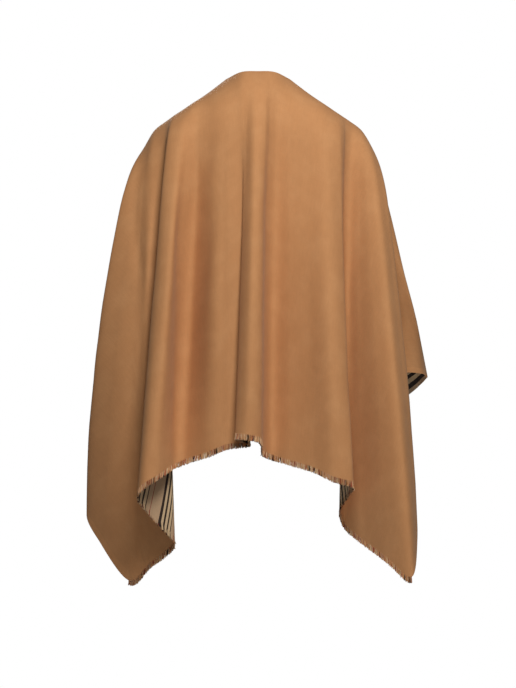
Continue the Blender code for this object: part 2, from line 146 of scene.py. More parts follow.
# The back, from wrist to wrist.
BACK_FOLDS = (
    Fold(-EDGE_END, -0.600, -0.309, -0.100, -0.545),               # right wrist
    Fold(-1.300, -0.520, -0.294, -0.048, -0.537, 0.0, -0.010),
    Fold(-1.230, -0.455, -0.258, -0.018, -0.538, 0.0, -0.016),     # cuff, near side
    Fold(-1.140, -0.395, -0.222, 0.022, -0.585, 0.0, -0.016),      # valley behind the arm
    Fold(-1.050, -0.340, -0.212, 0.062, -0.655, 0.0, -0.010),
    Fold(-0.960, -0.300, -0.240, 0.112, -0.700),
    Fold(-0.880, -0.268, -0.268, 0.158, -0.752, -0.010),           # outer turn of the corner
    Fold(-0.790, -0.248, -0.270, 0.205, -0.828, -0.008),
    Fold(-0.720, -0.234, -0.259, 0.250, -0.877, -0.004),           # right corner
    Fold(-0.640, -0.219, -0.223, 0.213, -0.850),
    Fold(-0.560, -0.206, -0.180, 0.152, -0.820),
    Fold(-0.490, -0.194, -0.150, 0.118, -0.795),                   # inner turn
    Fold(-0.430, -0.182, -0.141, 0.142, -0.764),
    Fold(-0.370, -0.171, -0.156, 0.188, -0.734),
    Fold(-0.320, -0.158, -0.161, 0.218, -0.720),                   # outer turn
    Fold(-0.265, -0.130, -0.130, 0.222, -0.710, 0.0, 0.008),       # broad right ridge
    Fold(-0.205, -0.090, -0.092, 0.194, -0.694, 0.0, -0.004),
    Fold(-0.156, -NECK_HALF, -0.056, 0.170, -0.684, 0.0, -0.010),  # end of the neck hole
    Fold(-0.105, -0.034, -0.020, 0.152, -0.674, 0.0, -0.012),      # right valley
    Fold(-0.080, -0.024, -0.008, 0.174, -0.667, 0.0, -0.006),      # behind the pipe
    Fold(-0.045, -0.013, -0.005, 0.212, -0.646, 0.0, 0.004),       # pipe, right turn
    Fold(0.000, 0.002, 0.020, 0.228, -0.638, 0.0, 0.004),          # pipe fold
    Fold(0.035, 0.014, 0.038, 0.210, -0.638, 0.0, -0.009),         # pipe, left turn
    Fold(0.075, 0.036, 0.014, 0.190, -0.649, 0.0, -0.004),         # behind the pipe
    Fold(0.132, NECK_HALF, 0.056, 0.182, -0.657, 0.0, -0.004),     # end of the neck hole
    Fold(0.176, 0.080, 0.087, 0.174, -0.670, 0.0, -0.008),
    Fold(0.216, 0.108, 0.128, 0.148, -0.684, 0.0, -0.038),         # main left valley
    Fold(0.260, 0.128, 0.156, 0.180, -0.698, 0.0, -0.020),
    Fold(0.290, 0.143, 0.174, 0.206, -0.709, 0.0, 0.002),          # broad left ridge
    Fold(0.320, 0.158, 0.194, 0.214, -0.722, 0.0, -0.002),
    Fold(0.350, 0.168, 0.205, 0.204, -0.737, 0.003, -0.009),       # outer turn
    Fold(0.400, 0.180, 0.190, 0.174, -0.766, -0.001, -0.006),
    Fold(0.460, 0.193, 0.164, 0.150, -0.797, -0.003, 0.003),
    Fold(0.520, 0.206, 0.145, 0.130, -0.824, 0.0, 0.012),          # inner turn
    Fold(0.610, 0.219, 0.189, 0.086, -0.868, 0.006, 0.038),
    Fold(0.720, 0.233, 0.228, 0.062, -0.899, 0.006, 0.052),        # left corner
    Fold(0.820, 0.246, 0.277, 0.044, -0.838, 0.008, 0.044),
    Fold(0.900, 0.268, 0.304, 0.026, -0.785, 0.021, 0.024),        # outer turn of the corner
    Fold(0.980, 0.300, 0.272, 0.024, -0.740, 0.0, 0.010),
    Fold(1.060, 0.340, 0.214, 0.030, -0.702, 0.0, 0.004),          # valley behind the arm
    Fold(1.150, 0.400, 0.221, 0.018, -0.655),
    Fold(1.260, 0.500, 0.264, -0.006, -0.606),
    Fold(EDGE_END, 0.600, 0.280, -0.045, -0.585),                  # left wrist
)

# The two fronts, between the slit and the wrist.
FRONT_LEFT_FOLDS = (
    Fold(0.000, 0.000, 0.028, -0.190, -0.620),            # edge of the slit
    Fold(0.050, 0.024, 0.064, -0.214, -0.628),
    Fold(0.105, 0.046, 0.084, -0.178, -0.642),            # valley
    Fold(0.132, NECK_HALF, 0.098, -0.194, -0.648),        # end of the neck hole
    Fold(0.165, 0.090, 0.120, -0.216, -0.656),
    Fold(0.225, 0.155, 0.172, -0.238, -0.682),            # ridge
    Fold(0.275, 0.188, 0.200, -0.220, -0.708),            # outer turn
    Fold(0.330, 0.194, 0.190, -0.166, -0.738),
    Fold(0.390, 0.199, 0.164, -0.128, -0.768),
    Fold(0.450, 0.205, 0.167, -0.094, -0.796),            # inner turn
    Fold(0.530, 0.214, 0.200, -0.128, -0.824),
    Fold(0.620, 0.226, 0.224, -0.192, -0.852),
    Fold(0.720, 0.240, 0.244, -0.240, -0.874),            # corner
    Fold(0.820, 0.256, 0.268, -0.196, -0.808),
    Fold(0.900, 0.268, 0.270, -0.146, -0.752),            # outer turn of the corner
    Fold(0.980, 0.300, 0.240, -0.108, -0.704),
    Fold(1.060, 0.340, 0.212, -0.082, -0.668),            # valley before the arm
    Fold(1.150, 0.400, 0.230, -0.064, -0.632),
    Fold(1.260, 0.500, 0.262, -0.066, -0.599),
    Fold(EDGE_END, 0.600, 0.280, -0.045, -0.585),         # left wrist
)
FRONT_RIGHT_FOLDS = (
    Fold(-EDGE_END, -0.600, -0.309, -0.100, -0.545),      # right wrist
    Fold(-1.300, -0.520, -0.292, -0.134, -0.565),         # cuff, far side
    Fold(-1.230, -0.455, -0.268, -0.116, -0.584),
    Fold(-1.140, -0.395, -0.232, -0.070, -0.620),
    Fold(-1.050, -0.340, -0.206, -0.080, -0.656),         # valley before the arm
    Fold(-0.960, -0.300, -0.237, -0.130, -0.708),
    Fold(-0.880, -0.268, -0.265, -0.176, -0.764),         # outer turn of the corner
    Fold(-0.810, -0.256, -0.266, -0.208, -0.810),
    Fold(-0.720, -0.238, -0.242, -0.252, -0.870),         # corner
    Fold(-0.640, -0.226, -0.226, -0.208, -0.848),
    Fold(-0.560, -0.214, -0.200, -0.140, -0.826),
    Fold(-0.480, -0.205, -0.163, -0.102, -0.800),         # inner turn
    Fold(-0.410, -0.198, -0.160, -0.146, -0.766),
    Fold(-0.345, -0.192, -0.194, -0.206, -0.732),
    Fold(-0.290, -0.184, -0.196, -0.244, -0.706),         # outer turn
    Fold(-0.235, -0.150, -0.152, -0.232, -0.684),
    Fold(-0.175, -0.104, -0.110, -0.196, -0.660),         # valley
    Fold(-0.132, -NECK_HALF, -0.092, -0.216, -0.645),     # end of the neck hole
    Fold(-0.055, -0.026, -0.054, -0.206, -0.628),
    Fold(0.000, 0.000, -0.020, -0.186, -0.620),           # edge of the slit
)

# How finely the tables are read, and what counts as one point or a sharp edge.
ARM_SAMPLES = 1500          # of the cut edge, down one arm
ROOT_SAMPLES = 6000         # of the shoulder line, over one arm
ROOT_STEP = 1e-9            # keeps the roots growing where several rays share one
WELD = 0.00001              # points nearer than this are one
SHARP = pi / 4              # a wall's edge is sharp, a fold of the cloth is not
FALL_FROM = 0.97            # the last of a ray, from here, gives the way it falls

# Small unevenness of the hung wool.
RIPPLE_FADE = 0.12          # from the neck hole to where the ripples hold
SEAM_FADE = 0.03            # from the shoulder line to where ripples and creases hold
CREASE_FADE = 0.06          # along the cut edge, past a crease's first and last place
CREASE_END = 4.0            # a crease fades in and out over one part in this many

# Ripples of one size: waves to the metre across and along the warp, height, and
# the slice of the noise that the fronts and the back take.
Ripple = namedtuple("Ripple", "across along height front back")
RIPPLES = (
    Ripple(9.0, 2.6, 0.0016, -3.0, 3.0),
    Ripple(26.0, 8.0, 0.0008, 6.0, 8.0),
)

# A crease of the back, from one end to the other.  It runs only on the cloth
# between two places on the cut edge; `bow` is how far its middle bulges to the
# left, and `rise` how far the cloth stands out along it, or sinks in where it
# is below 0.
Crease = namedtuple("Crease", "first last x_top z_top x_bottom z_bottom bow width rise")
CREASES = (
    # Main left valley.
    Crease(0.17, 0.33, 0.128, -0.140, 0.140, -0.760, 0.000, 0.012, -0.0090),
    # Ridge to the left corner.
    Crease(0.50, 0.72, 0.186, -0.180, 0.202, -0.760, 0.000, 0.010, 0.0060),
    # Swell below the left shoulder.
    Crease(0.14, 0.30, 0.100, -0.050, 0.110, -0.260, 0.000, 0.016, 0.0060),
    # Over the left arm.
    Crease(0.34, 1.20, 0.194, -0.120, 0.193, -0.400, 0.024, 0.010, -0.0022),
    # Short, from the left shoulder.
    Crease(0.00, 0.34, 0.066, -0.080, 0.090, -0.180, 0.000, 0.010, -0.0012),
    # Long, from the neck.
    Crease(0.00, 0.34, 0.060, -0.120, 0.108, -0.460, -0.003, 0.011, -0.0014),
    # Short, beside the long one.
    Crease(0.00, 0.34, 0.106, -0.140, 0.102, -0.260, 0.000, 0.010, -0.0020),
    # Below the nape.
    Crease(-0.20, 0.20, 0.021, -0.046, 0.022, -0.230, 0.000, 0.008, -0.0012),
    # Beside the pipe fold.
    Crease(-0.20, 0.20, -0.012, -0.110, -0.018, -0.640, -0.004, 0.010, -0.0026),
    # Beside the broad right ridge.
    Crease(-0.60, -0.24, -0.140, -0.120, -0.164, -0.680, 0.000, 0.014, -0.0030),
    # Level, right of the middle.
    Crease(-0.30, 0.00, -0.020, -0.335, -0.090, -0.360, 0.000, 0.008, -0.0024),
    # Behind the right arm.
    Crease(-1.30, -0.98, -0.210, -0.180, -0.262, -0.540, 0.000, 0.010, -0.0080),
)

# Names that the pieces, their layers and their materials share.
CAPE = "cape_cloth"
CUT_UV = "Cut"
YARN_COLOUR = "yarn"

# The strands of the fringe.  A pair is the range that chance draws from.
OUTER_YARNS = ("camel", "camel", "camel_light", "cream", "rust", "striped", "striped")
STRAND_LENGTH = (0.80, 1.00)        # share of the fringe's length
STRAND_THICKNESS = (0.80, 1.15)     # share of the fringe's thickness
STRAND_SHADE = (0.85, 1.10)         # factor on the yarn's colour
STRAND_STRAY = 0.35                 # either way along the hem, in pitches
STRAND_TIP = 0.7                    # radius of the tip, against the root's
STRAND_LEAN = 0.055                 # spread of the way that it points
STRAND_CURL = 0.0006                # spread of the bend at its tip
STRAND_APART = 0.0005               # from the middle of the cloth to each warp

# A stripe of the inner face: its width across the warp and its yarn.
Stripe = namedtuple("Stripe", "width yarn")
STRIPES = (
    Stripe(0.009, "brown"),
    Stripe(0.008, "cream"),
    Stripe(0.007, "brown"),
    Stripe(0.008, "cream"),
    Stripe(0.005, "brown"),
    Stripe(0.008, "cream"),
    Stripe(0.003, "brown"),
    Stripe(0.014, "ground"),
    Stripe(0.002, "rust"),
    Stripe(0.032, "ground"),
)
STRIPE_PERIOD = sum(stripe.width for stripe in STRIPES)
STRIPE_SHIFT = 0.040            # a period starts this far right of the middle
STRIPE_FUZZ = 0.0005            # how far the nap carries a stripe's edge

# The finish of the cloth.
TWILL_PITCH = 0.0016            # between two ribs
CAMEL_ROUGHNESS = 0.86
NAP_ROUGHNESS = 0.12            # the camel nap's part in its roughness
STRIPED_ROUGHNESS = 0.88
YARN_ROUGHNESS = 0.92
SPECULAR = 0.25
SHEEN_ROUGHNESS = 0.45
CAMEL_SHEEN = (1.0, 0.84, 0.66, 1.0)
STRIPED_SHEEN = 0.8             # of the outer face's
BUMP_STRENGTH = 0.55
BUMP_HEIGHT = 0.00022
SELVEDGE = 0.010                # width of the woven edge
SELVEDGE_BLEND = 0.001
SELVEDGE_PITCH = 0.0021         # between its cords
STITCH_INSET = 0.007            # from the cut edge
STITCH_WIDTH = 0.0008
STITCH_PITCH = 0.0045
STITCH_ENDS = (-0.4, 0.1)       # of the seam's wave, between which a stitch begins
SLIT_BLEND = 0.02               # from the neck's stitches to the slit's

# Noise in the wool: its grains to the metre, its detail, its scale along the
# warp against that across, and its weight.
Speckle = namedtuple("Speckle", "scale detail along weight")
RIB_DRIFT = Speckle(60.0, 2.0, 1.00, 0.25 * TWILL_PITCH)
NAP = Speckle(2200.0, 3.0, 0.25, 1.00)
BRUSHED = Speckle(420.0, 2.0, 0.08, 0.12)
BROAD_MOTTLE = Speckle(9.0, 2.0, 1.00, 0.10)
FINE_MOTTLE = Speckle(70.0, 3.0, 1.00, 0.10)
STRIPED_MOTTLE = Speckle(12.0, 2.0, 1.00, 0.08)
LIGHT_PATCHES = Speckle(26.0, 3.0, 1.00, 1.00)
STRAND_FUZZ = Speckle(1500.0, 3.0, 1.00, 0.50)
PATCH_ENDS = (-0.12, 0.25)      # of the noise, between which camel turns to light camel
PATCH_SHARE = 0.5               # of light camel, at most

# How far a mark of the cloth lightens its colour, and how far it stands out.
Mark = namedtuple("Mark", "light height")
OUTER_NAP = Mark(0.30, 1.5)
OUTER_RIBS = Mark(0.025, 0.35)
INNER_NAP = Mark(0.35, 1.5)
INNER_RIBS = Mark(0.03, 0.35)
SELVEDGE_CORDS = Mark(0.10, 0.8)
STITCHES = Mark(-0.22, -1.6)

# The stage.
WHITE = (1.0, 1.0, 1.0, 1.0)
FLOOR_SIDES = 96
FLOOR_COLOUR = (0.84, 0.84, 0.84, 1.0)
FLOOR_ROUGHNESS = 0.7
FLOOR_GLOW = 0.15
FLOOR_FADE = (0.35, 0.98)       # shares of its radius, between which it fades out

# A softbox: where it hangs, the side of its square and its share of the power.
Softbox = namedtuple("Softbox", "name place size share")
SOFTBOXES = (
    Softbox("softbox_back", (-0.27, 1.60, 0.92), 0.8, 1.0),
    Softbox("softbox_front", (0.30, -1.90, 0.60), 0.6, 0.4),
)

# The camera: level with the middle of the cape, behind it.
CAMERA_DISTANCE = 4.5
CAMERA_SENSOR = 24.0            # height, in millimetres
VIEW_HEIGHT = 688 / 560         # metres: the image's rows, by its rows to the metre
EYE_LEVEL = Vector((0.0, 0.0, -0.4839))


def mirrored(rows):
    """The rows of a carrying line for the other side of the body."""
    return tuple(row._replace(root=-row.root, x=-row.x) for row in reversed(rows))


def between_rows(rows, place):
    """The row at a place in a table, on a smooth curve through its rows."""
    last = len(rows) - 2
    i = 0
    while i < last and place > rows[i + 1][0]:
        i += 1
    slopes = []
    for k in (i, i + 1):
        before = max(k - 1, 0)
        after = min(k + 1, last + 1)
        near, row, far = (Vector(rows[n][1:]) for n in (before, k, after))
        left = rows[k][0] - rows[before][0]
        right = rows[after][0] - rows[k][0]
        if before == k:
            slopes.append((far - row) / right)
        elif after == k:
            slopes.append((row - near) / left)
        else:
            bent = (far - row) / right * left + (row - near) / left * right
            slopes.append(bent / (left + right))
    step = rows[i + 1][0] - rows[i][0]
    f = (place - rows[i][0]) / step
    start, end = (Vector(rows[n][1:]) for n in (i, i + 1))
    value = start * (1 + 2 * f) * (1 - f) ** 2 + slopes[0] * step * f * (1 - f) ** 2
    value += end * f * f * (3 - 2 * f) - slopes[1] * step * f * f * (1 - f)
    return value


class Ray:
    """A straight line of the flat cloth, as it rounds the shoulder and falls."""

    def __init__(self, panel, edge, root=None):
        fold = between_rows(panel.folds, edge)
        root = fold[0] if root is None else root
        self.start = panel.carried(root)
        self.end = Vector(fold[1:4])
        self.bow, self.sway = fold[4], fold[5]
        self.flat_start = Vector(panel.root_flat(root))
        self.flat_end = Vector(panel.edge_flat(edge))
        run = self.flat_end - self.flat_start
        square = abs(run.y) / run.length        # 1 where the ray runs straight down the body
        middle = BACK_ROUND if panel.side > 0 else FRONT_ROUND
        arms = min(abs(root) / ROUND_FADE, 1.0)
        out = middle * (1 - arms) + ARM_ROUND * arms
        back_from = self.start.y if panel.side > 0 else 0.0     # the back swells to one depth
        self.swell = Vector((0.0, (panel.side * out - back_from) * square, 0.0))
        self.turn = min(ROUND_LENGTH / run.length, ROUND_LONGEST)
        self.drop = self.start.z - self.end.z
        level = min(abs(root) / LEVEL_FADE, 1.0)
        level = NECK_LEVEL + (1 - NECK_LEVEL) * level
        # A lag of drop / (2 / turn - 1) lets the ray leave its root level.
        self.lag = self.drop / (2 / self.turn - 1) * square * level

    def place(self, t):
        """The cloth's middle surface, a share t of the way down."""
        rounded = 1 - (1 - min(t / self.turn, 1.0)) ** 2
        place = self.start + self.swell * rounded + (self.end - self.start - self.swell) * t
        place.x += self.bow * BOW_SCALE * t * (1 - t)
        place.y += self.sway * SWAY_SCALE * t * t * (1 - t)
        place.z = self.start.z - (self.drop + self.lag) * t + self.lag * rounded
        return place

    def flat(self, t):
        """The same point of the flat cut."""
        return self.flat_start + (self.flat_end - self.flat_start) * t

    def fall(self):
        """The way the cloth points where it ends."""
        return (self.place(1.0) - self.place(FALL_FROM)).normalized()


class Panel:
    """A stretch of the cloth: its carrying line, its folds and its flat cut."""

    def __init__(self, name, roots, folds, side):
        self.name = name
        self.roots = roots
        self.folds = folds
        self.side = side            # +1 for the back, -1 for a front

    def carried(self, root):
        """The point of the carrying line at a root."""
        rows = next((rows for rows in self.roots if root < rows[-1].root), self.roots[-1])
        return between_rows(rows, root)

    def root_flat(self, root):
        """Where a root lies in the flat cut."""
        if abs(root) >= NECK_HALF:
            return root, 0.0
        share = abs(root) / NECK_HALF
        angle = self.side * pi / 2 * (1 - share) + NECK_SIDE * share
        reach = NECK_RADIUS * cos(angle)
        return (reach if root > 0 else -reach), NECK_RADIUS * sin(angle) - NECK_FORWARD

    def edge_flat(self, edge):
        """Where a place on the cut edge lies in the flat cut."""
        across = min(abs(edge), HALF_SPAN)
        up = max(abs(edge) - HALF_SPAN, 0.0)
        return (across if edge > 0 else -across), self.side * (HALF_LENGTH - up)

    def neck_edge(self, arm):
        """Where the ray from one end of the neck hole meets the cut edge."""
        return next(row.edge for row in self.folds if abs(row.root - arm * NECK_HALF) < WELD)

    def arm_samples(self, arm):
        """Roots and edges down one arm, both growing outwards."""
        edges = np.linspace(abs(self.neck_edge(arm)), EDGE_END, ARM_SAMPLES)
        roots = [abs(between_rows(self.folds, arm * edge)[0]) for edge in edges]
        return np.maximum.accumulate(roots) + np.arange(ARM_SAMPLES) * ROOT_STEP, edges


BACK = Panel("back", (RIGHT_ARM, NECK_BACK, LEFT_ARM), BACK_FOLDS, 1)
FRONT_LEFT = Panel("front_left", (NECK_FRONT, LEFT_ARM), FRONT_LEFT_FOLDS, -1)
FRONT_RIGHT = Panel("front_right", (RIGHT_ARM, mirrored(NECK_FRONT)), FRONT_RIGHT_FOLDS, -1)
STRETCHES = (BACK, FRONT_LEFT, FRONT_RIGHT)


def arm_columns(front, arm, pitch):
    """Columns of the back and of a front that start from the same roots."""
    back_roots, back_edges = BACK.arm_samples(arm)
    front_roots, front_edges = front.arm_samples(arm)
    grid = np.linspace(NECK_HALF, back_roots[-1], ROOT_SAMPLES)
    both = np.interp(grid, back_roots, back_edges) + np.interp(grid, front_roots, front_edges)
    count = round((both[-1] - both[0]) / (2 * pitch))
    roots = np.interp(np.linspace(both[0], both[-1], count + 1), both, grid)
    columns = []
    for samples in ((back_roots, back_edges), (front_roots, front_edges)):
        edges = np.interp(roots, *samples)
        edges[-1] = EDGE_END
        columns.append([(arm * float(e), arm * float(r)) for e, r in zip(edges, roots)])
    return columns


def neck_columns(start, end, pitch):
    """Columns from the neck hole, between two places on the cut edge."""
    count = round(abs(end - start) / pitch)
    return [(start + (end - start) * i / count, None) for i in range(1, count)]


def cape_columns(pitch):
    """The edge and root of each column of the three stretches."""
    back_left, front_left = arm_columns(FRONT_LEFT, 1, pitch)
    back_right, front_right = arm_columns(FRONT_RIGHT, -1, pitch)
    neck = neck_columns(BACK.neck_edge(-1), BACK.neck_edge(1), pitch)
    left = neck_columns(0.0, FRONT_LEFT.neck_edge(1), pitch)
    right = neck_columns(0.0, FRONT_RIGHT.neck_edge(-1), pitch)
    return (
        (BACK, back_right[::-1] + neck + back_left),
        (FRONT_LEFT, [(0.0, 0.0)] + left + front_left),
        (FRONT_RIGHT, front_right[::-1] + right[::-1] + [(0.0, 0.0)]),
    )


def ripple(flat, side):
    """How far the ripples lift the cloth at a point of the cut."""
    from_neck = Vector((flat.x, flat.y + NECK_FORWARD)).length - NECK_RADIUS
    settle = min(max(from_neck / RIPPLE_FADE, 0.0), 1.0)
    lift = 0.0
    for size in RIPPLES:
        place = (flat.x * size.across, flat.y * size.along, size.back if side > 0 else size.front)
        lift += size.height * noise.noise(Vector(place))
    return settle * lift


def crease_lift(place, edge):
    """How far the creases lift the cloth at a point of the back."""
    lift = 0.0
    for crease in CREASES:
        beside = max(crease.first - edge, edge - crease.last, 0.0) / CREASE_FADE
        top = Vector((crease.x_top, crease.z_top))
        run = Vector((crease.x_bottom, crease.z_bottom)) - top
        here = place.xz - top
        down = here.dot(run) / run.length_squared
        if beside < 1 and 0 < down < 1:
            off = here.cross(run) / run.length + crease.bow * BOW_SCALE * down * (1 - down)
            fade = min(CREASE_END * down, 1.0) * min(CREASE_END * (1 - down), 1.0)
            lift += crease.rise * (1 - beside) * fade * exp(-((off / crease.width) ** 2))
    return lift


def hang_cloth(pitch, rows):
    """The whole cape as one open surface, with its place in the flat cut."""
    bm = bmesh.new()
    flat_layer = bm.verts.layers.float_vector.new("flat")
    fall_layer = bm.verts.layers.float_vector.new("fall")
    edge_layer = bm.verts.layers.float.new("edge")
    stretch_layer = bm.verts.layers.int.new("stretch")
    for number, (panel, columns) in enumerate(cape_columns(pitch), 1):
        rays = [Ray(panel, edge, root) for edge, root in columns]
        grid = bmesh.ops.create_grid(bm, x_segments=len(rays) - 1, y_segments=rows, size=1.0)
        for vert in grid["verts"]:
            column = round((vert.co.x + 1) / 2 * (len(rays) - 1))
            down = (vert.co.y + 1) / 2
            edge, ray = columns[column][0], rays[column]
            even = max(abs(edge) - HALF_SPAN, 0.0) / HALF_LENGTH
            t = down ** ROW_CROWDING * (1 - even) + down * even
            vert.co = ray.place(t)
            vert[flat_layer] = ray.flat(t).to_3d()
            vert[edge_layer] = edge
            if down == 1 and abs(edge) <= HALF_SPAN + pitch / 2:
                vert[stretch_layer] = number
                vert[fall_layer] = ray.fall()
        if panel.side < 0:
            faces = list({face for vert in grid["verts"] for face in vert.link_faces})
            bmesh.ops.reverse_faces(bm, faces=faces)
    bmesh.ops.remove_doubles(bm, verts=bm.verts, dist=WELD)
    bm.normal_update()
    return bm


def crumple(bm):
    """Lift the hung surface by its ripples and creases."""
    flat_layer = bm.verts.layers.float_vector["flat"]
    edge_layer = bm.verts.layers.float["edge"]
    lifts = []
    for vert in bm.verts:
        flat = vert[flat_layer]
        side = 1 if flat.y > 0 else -1
        seam = min(abs(flat.y) / SEAM_FADE, 1.0)
        lift = ripple(flat, side)
        if side > 0:
            lift += crease_lift(vert.co, vert[edge_layer])
        lifts.append(vert.normal * seam * lift)
    for vert, lift in zip(bm.verts, lifts):
        vert.co += lift
    bm.normal_update()


def thicken(bm, wall):
    """Give the open surface its wall: the camel face out, the striped face in."""
    outward = bm.verts.layers.float_vector.new("outward")
    inner = bm.verts.layers.int.new("inner")
    for vert in bm.verts:
        vert[outward] = vert.normal
    striped = bm.faces[:]
    made = bmesh.ops.extrude_face_region(bm, geom=striped, use_keep_orig=True)["geom"]
    camel = {item for item in made if isinstance(item, bmesh.types.BMVert)}
    for vert in bm.verts:
        step = Vector(vert[outward]) * wall / 2
        vert.co += step if vert in camel else -step
        vert[inner] = vert not in camel
    for face in striped:
        face.material_index = 1
    bmesh.ops.recalc_face_normals(bm, faces=bm.faces)


def unfold_uv(bm):
    """A UV map that holds each point's place in the flat cut, in metres."""
    flat = bm.verts.layers.float_vector["flat"]
    uv = bm.loops.layers.uv.new(CUT_UV)
    for face in bm.faces:
        for loop in face.loops:
            loop[uv].uv = loop.vert[flat].xy


def new_object(name, bm, materials):
    """An object in the scene, made from a mesh that is then freed."""
    mesh = bpy.data.meshes.new(name)
    bm.to_mesh(mesh)
    bm.free()
    for material in materials:
        mesh.materials.append(material)
    made = bpy.data.objects.new(name, mesh)
    bpy.context.scene.collection.objects.link(made)
    return made


def add_piece(name, bm, materials):
    """A named piece of the object, which rides on the cape's one body."""
    piece = new_object(name, bm, materials)
    piece.data.shade_smooth()
    piece.data.set_sharp_from_angle(angle=SHARP)
    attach(piece, "root")
    return piece


def repeat_first(bm, count):
    """Copy the mesh's one island until there are this many, and count its vertices."""
    sizes = [len(bm.verts), len(bm.edges), len(bm.faces)]
    made = 1
    while made < count:
        take = min(made, count - made)
        parts = (bm.verts[:], bm.edges[:], bm.faces[:])
        geom = [item for items, size in zip(parts, sizes) for item in items[:take * size]]
        bmesh.ops.duplicate(bm, geom=geom)
        made += take
    return sizes[0]


def strand_shape(bm):
    """One upright strand of a metre's length and radius, in four rings of three."""
    bmesh.ops.create_cone(
        bm, cap_ends=True, segments=3, radius1=STRAND_TIP, radius2=1.0, depth=1.0
    )
    upright = [edge for edge in bm.edges if edge.verts[0].co.z * edge.verts[1].co.z < 0]
    bmesh.ops.subdivide_edges(bm, edges=upright, cuts=2, use_grid_fill=True)


# A place on a hem.  `edge` is its distance along the cut edge and `across` its
# place in the flat cut; `fall` and `outward` are directions.
Station = namedtuple("Station", "edge place fall outward across")


def read_hems(cape, wall):
    """The hem of each stretch of the hung cloth, as stations along its middle surface."""
    bm = bmesh.new()
    bm.from_mesh(cape.data)
    vectors = bm.verts.layers.float_vector
    flat, fall, outward = (vectors[name] for name in ("flat", "fall", "outward"))
    edge = bm.verts.layers.float["edge"]
    stretch = bm.verts.layers.int["stretch"]
    inner = bm.verts.layers.int["inner"]
    hems = []
    for number, panel in enumerate(STRETCHES, 1):
        stations = [
            Station(
                vert[edge],
                vert.co + Vector(vert[outward]) * wall / 2,
                Vector(vert[fall]),
                Vector(vert[outward]),
                vert[flat].x,
            )
            for vert in bm.verts
            if vert[inner] and vert[stretch] == number
        ]
        hems.append((panel.name, sorted(stations, key=lambda station: station.edge)))
    bm.free()
    return hems


def stations_along(hem, count, chance):
    """Stations strewn evenly along a hem, between its own."""
    first, last = hem[0].edge, hem[-1].edge
    i = 0
    for number in range(count):
        stray = chance.uniform(-STRAND_STRAY, STRAND_STRAY)
        edge = first + (last - first) * (number + 0.5 + stray) / count
        while hem[i + 1].edge < edge:
            i += 1
        near, far = hem[i], hem[i + 1]
        share = (edge - near.edge) / (far.edge - near.edge)
        yield Station(*(a + (b - a) * share for a, b in zip(near, far)))


def stray_way(across, outward, spread, chance):
    """A chance step of this spread, across the strand and out of the hem."""
    return across * chance.gauss(0.0, spread) + outward * chance.gauss(0.0, spread)


def draw_fringe(hem, settings, yarns, chance):
    """The strands of one hem: the camel warp before the striped warp."""
    count = round((hem[-1].edge - hem[0].edge) / settings.pitch)
    bm = bmesh.new()
    colour = bm.verts.layers.float_color.new(YARN_COLOUR)
    strand_shape(bm)
    size = repeat_first(bm, 2 * count)
    verts = bm.verts[:]
    start = 0
    for face in (1, -1):
        for station in stations_along(hem, count, chance):
            fall = station.fall.normalized()
            outward = (station.outward - fall * station.outward.dot(fall)).normalized()
            across = fall.cross(outward)
            name = chance.choice(OUTER_YARNS) if face > 0 else "striped"
            if name == "striped":
                name = stripe_at(station.across)
            shade = chance.uniform(*STRAND_SHADE)
            tint = [part * shade for part in yarns[name][:3]] + [1.0]
            lean = stray_way(across, outward, STRAND_LEAN, chance)
            curl = stray_way(across, outward, STRAND_CURL, chance)
            length = settings.rooted + settings.length * chance.uniform(*STRAND_LENGTH)
            thick = settings.thickness / 2 * chance.uniform(*STRAND_THICKNESS)
            root = station.place - fall * settings.rooted + outward * face * STRAND_APART
            for vert in verts[start:start + size]:
                down = 0.5 - vert.co.z
                run = (fall + lean * down) * length * down + curl * down ** 2
                vert.co = root + run + (across * vert.co.x + outward * vert.co.y) * thick
                vert[colour] = tint
            start += size
    bmesh.ops.recalc_face_normals(bm, faces=bm.faces)
    return bm


